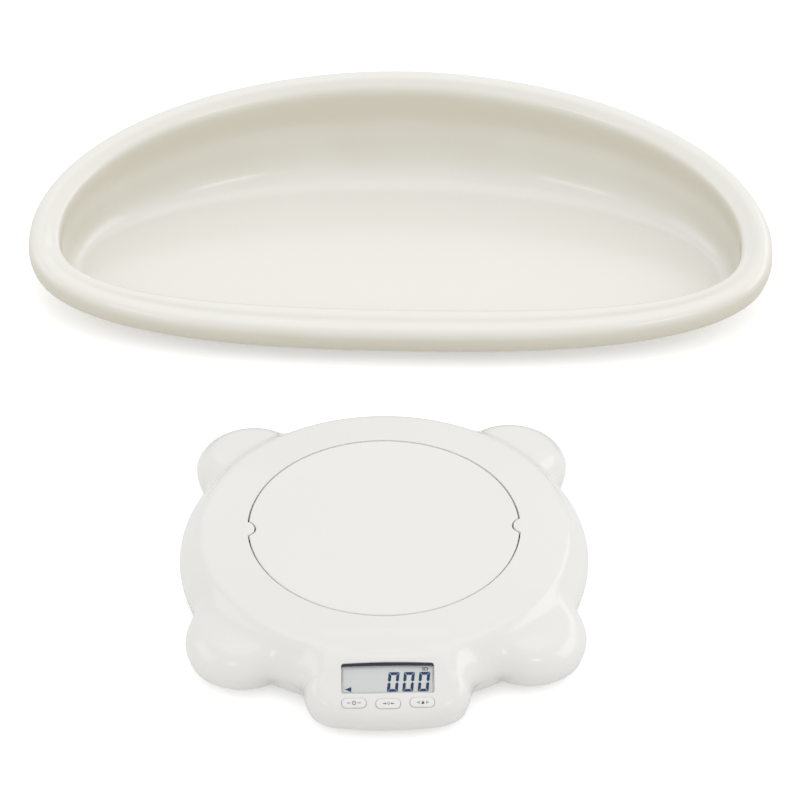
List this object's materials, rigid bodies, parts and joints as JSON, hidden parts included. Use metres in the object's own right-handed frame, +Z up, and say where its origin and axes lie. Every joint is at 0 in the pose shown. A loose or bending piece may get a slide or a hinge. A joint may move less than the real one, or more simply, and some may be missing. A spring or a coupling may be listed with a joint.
{
  "type": "digital baby weighing scale",
  "caption": "Low animal-shaped digital scale with a round weighing platform, display and keys, and a wide cradle tray that lifts off.",
  "frame": {"origin": "on the table under the middle of the round weighing platform", "axes": "+Z up, -Y towards the person who reads the display, +X to that person's right; the tray stands at +Y"},
  "size_m": [0.586, 0.7145, 0.0904],
  "materials": {
    "housing_plastic": "glossy moulded ABS",
    "platform_plastic": "glossy moulded ABS",
    "tray_plastic": "glossy moulded plastic",
    "key_plastic": "satin moulded plastic",
    "rubber": "grey soft rubber",
    "zebra_rubber": "pink and black layered rubber",
    "window_glass": "clear window",
    "lcd": "grey liquid crystal panel",
    "frame_plastic": "dark moulded frame",
    "board": "green circuit board",
    "chip": "black moulded parts",
    "beam_metal": "milled aluminium",
    "steel": "zinc plated steel",
    "gauge_coat": "white silicone",
    "battery": "plain printed cell jackets",
    "wire": "insulated wire"
  },
  "bodies": {
    "housing": {"top_cover": "housing_plastic", "bottom_cover": "housing_plastic", "overload_stops": "rubber", "load_cell_beam": "beam_metal", "load_cell_spacer": "steel", "strain_gauge_coats": "gauge_coat", "load_cell_base_screws": "steel", "display_window": "window_glass", "lcd_glass": "lcd", "lcd_frame": "frame_plastic", "zebra_strip": "zebra_rubber", "main_board": "board", "controller_chip": "chip", "board_screws": "steel", "key_switch_left": "chip", "key_switch_middle": "chip", "key_switch_right": "chip", "foot_rear_left": "rubber", "foot_front_left": "rubber", "foot_rear_right": "rubber", "foot_front_right": "rubber", "case_screws": "steel", "batteries": "battery", "battery_contacts": "steel", "battery_springs": "steel", "battery_wire": "wire", "load_cell_wire": "wire"},
    "platform": {"platform_disc": "platform_plastic", "platform_support": "beam_metal", "platform_screws": "steel", "load_cell_top_screws": "steel"},
    "on_off_key": {"key_on_off": "key_plastic"},
    "tare_key": {"key_tare": "key_plastic"},
    "hold_key": {"key_hold": "key_plastic"},
    "battery_door": {"battery_door": "housing_plastic"},
    "tray": {"tray_shell": "tray_plastic", "tray_pads": "rubber"}
  },
  "joints": [
    {"name": "platform_sink", "type": "slide", "parent": "housing", "child": "platform", "axis": [0, 0, -1], "range_m": [0, 0.0004], "stiffness_N_per_m": 15000, "springref_m": -0.00016},
    {"name": "on_off_press", "type": "slide", "parent": "housing", "child": "on_off_key", "axis": [0, 0.5, -0.866], "range_m": [0, 0.0006], "stiffness_N_per_m": 300, "springref_m": -0.001},
    {"name": "tare_press", "type": "slide", "parent": "housing", "child": "tare_key", "axis": [0, 0.5, -0.866], "range_m": [0, 0.0006], "stiffness_N_per_m": 300, "springref_m": -0.001},
    {"name": "hold_press", "type": "slide", "parent": "housing", "child": "hold_key", "axis": [0, 0.5, -0.866], "range_m": [0, 0.0006], "stiffness_N_per_m": 300, "springref_m": -0.001},
    {"name": "battery_door_swing", "type": "hinge", "parent": "housing", "child": "battery_door", "pos_m": [0, 0.0782, 0.006], "axis": [1, 0, 0], "range_deg": [0, 70]},
    {"name": "tray_carry", "type": "slide", "parent": "housing", "child": "tray", "axis": [-0.0494, -0.9088, 0.4144], "range_m": [0, 0.4248]}
  ]
}
